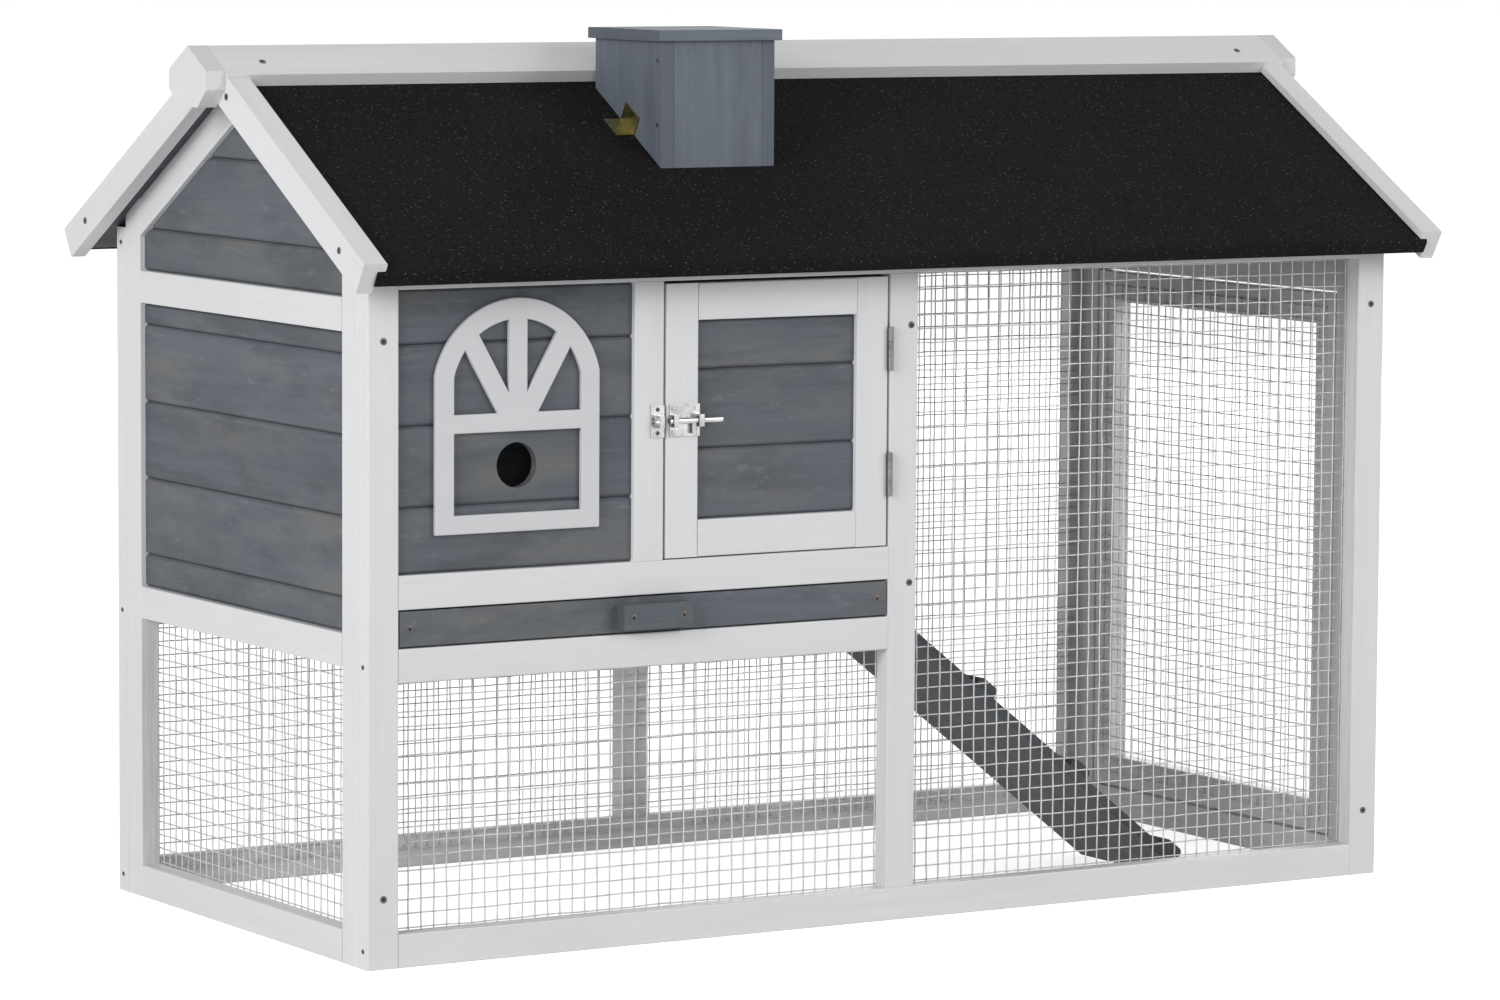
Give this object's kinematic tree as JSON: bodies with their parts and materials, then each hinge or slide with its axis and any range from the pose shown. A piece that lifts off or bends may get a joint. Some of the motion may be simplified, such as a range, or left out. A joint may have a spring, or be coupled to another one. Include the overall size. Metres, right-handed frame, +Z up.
{
  "type": "rabbit hutch",
  "caption": "Gable-roofed timber rabbit hutch: boarded house with pull-out tray, wire-mesh run, ramp, hinged doors, felted roof and a chimney box.",
  "frame": {"origin": "on the ground, below the middle of the roof", "axes": "+X right along the length, +Y to the rear, +Z up; the front door faces -Y"},
  "size_m": [1.188, 0.6, 0.811],
  "materials": {
    "white_timber": "white painted softwood, satin, faint grain",
    "grey_timber": "blue-grey stained softwood boards, matt, grain showing",
    "dark_timber": "dark grey stained softwood, matt",
    "natural_board": "bare plywood",
    "roofing_felt": "black mineral roofing felt, fine grit",
    "galvanised_wire": "bright galvanised",
    "nickel": "nickel plated",
    "zinc_hinge": "zinc plated",
    "brass_plate": "yellow passivated",
    "screw_steel": "dark bronze screw heads"
  },
  "bodies": {
    "hutch": {"front_left_stile": "white_timber", "front_right_stile": "white_timber", "front_centre_post": "white_timber", "front_rails": "white_timber", "front_door_post": "white_timber", "vent_board": "grey_timber", "window_boards": "grey_timber", "arched_window_trim": "white_timber", "left_stiles": "white_timber", "right_stiles": "white_timber", "gable_rafters": "white_timber", "left_rails": "white_timber", "right_rails": "white_timber", "left_wall_boards": "grey_timber", "gable_boards": "grey_timber", "rear_stiles": "white_timber", "rear_rails": "white_timber", "rear_wall_boards": "grey_timber", "front_lower_mesh": "galvanised_wire", "front_run_mesh": "galvanised_wire", "rear_lower_mesh": "galvanised_wire", "rear_run_mesh": "galvanised_wire", "left_lower_mesh": "galvanised_wire", "partition_boards": "grey_timber", "partition_rail": "white_timber", "tray_runner": "natural_board", "roof_decks": "dark_timber", "roof_felt": "roofing_felt", "bargeboards": "white_timber", "ridge_boards": "white_timber", "ridge_end_blocks": "white_timber", "chimney_sides": "grey_timber", "chimney_ends": "grey_timber", "chimney_cap": "grey_timber", "chimney_brackets": "brass_plate", "hinge_frame_halves": "zinc_hinge", "bolt_keepers": "nickel", "ramp_hanger": "zinc_hinge", "fixed_screws": "screw_steel"},
    "front_door": {"front_door_frame": "white_timber", "front_door_boards": "grey_timber", "front_hinge_leaves": "zinc_hinge", "front_bolt_plate": "nickel", "front_plate_screws": "nickel"},
    "front_bolt": {"front_bolt": "nickel"},
    "side_door": {"side_door_frame": "white_timber", "side_door_mesh": "galvanised_wire", "side_hinge_leaves": "zinc_hinge", "side_bolt_plate": "nickel", "side_plate_screws": "nickel"},
    "side_bolt": {"side_bolt": "nickel"},
    "tray": {"tray_front": "grey_timber", "tray_pan": "natural_board", "tray_handle": "grey_timber", "tray_screws": "screw_steel"},
    "ramp": {"ramp_board": "dark_timber", "ramp_cleats": "dark_timber", "ramp_eyes": "zinc_hinge"}
  },
  "joints": [
    {"name": "front_door_hinge", "type": "hinge", "parent": "hutch", "child": "front_door", "pos_m": [-0.01325, -0.2529, 0.46735], "axis": [0, 0, 1], "range_deg": [0, 110]},
    {"name": "front_bolt_slide", "type": "slide", "parent": "front_door", "child": "front_bolt", "axis": [-1, 0, 0], "range_m": [0, 0.015]},
    {"name": "side_door_hinge", "type": "hinge", "parent": "hutch", "child": "side_door", "pos_m": [0.5479, 0.19975, 0.2935], "axis": [0, 0, 1], "range_deg": [0, 110]},
    {"name": "side_bolt_slide", "type": "slide", "parent": "side_door", "child": "side_bolt", "axis": [0, -1, 0], "range_m": [0, 0.013]},
    {"name": "tray_slide", "type": "slide", "parent": "hutch", "child": "tray", "axis": [0, -1, 0], "range_m": [0, 0.38]},
    {"name": "ramp_hinge", "type": "hinge", "parent": "hutch", "child": "ramp", "pos_m": [0.026, -0.118, 0.274], "axis": [0, -1, 0], "range_deg": [0, 78]}
  ]
}
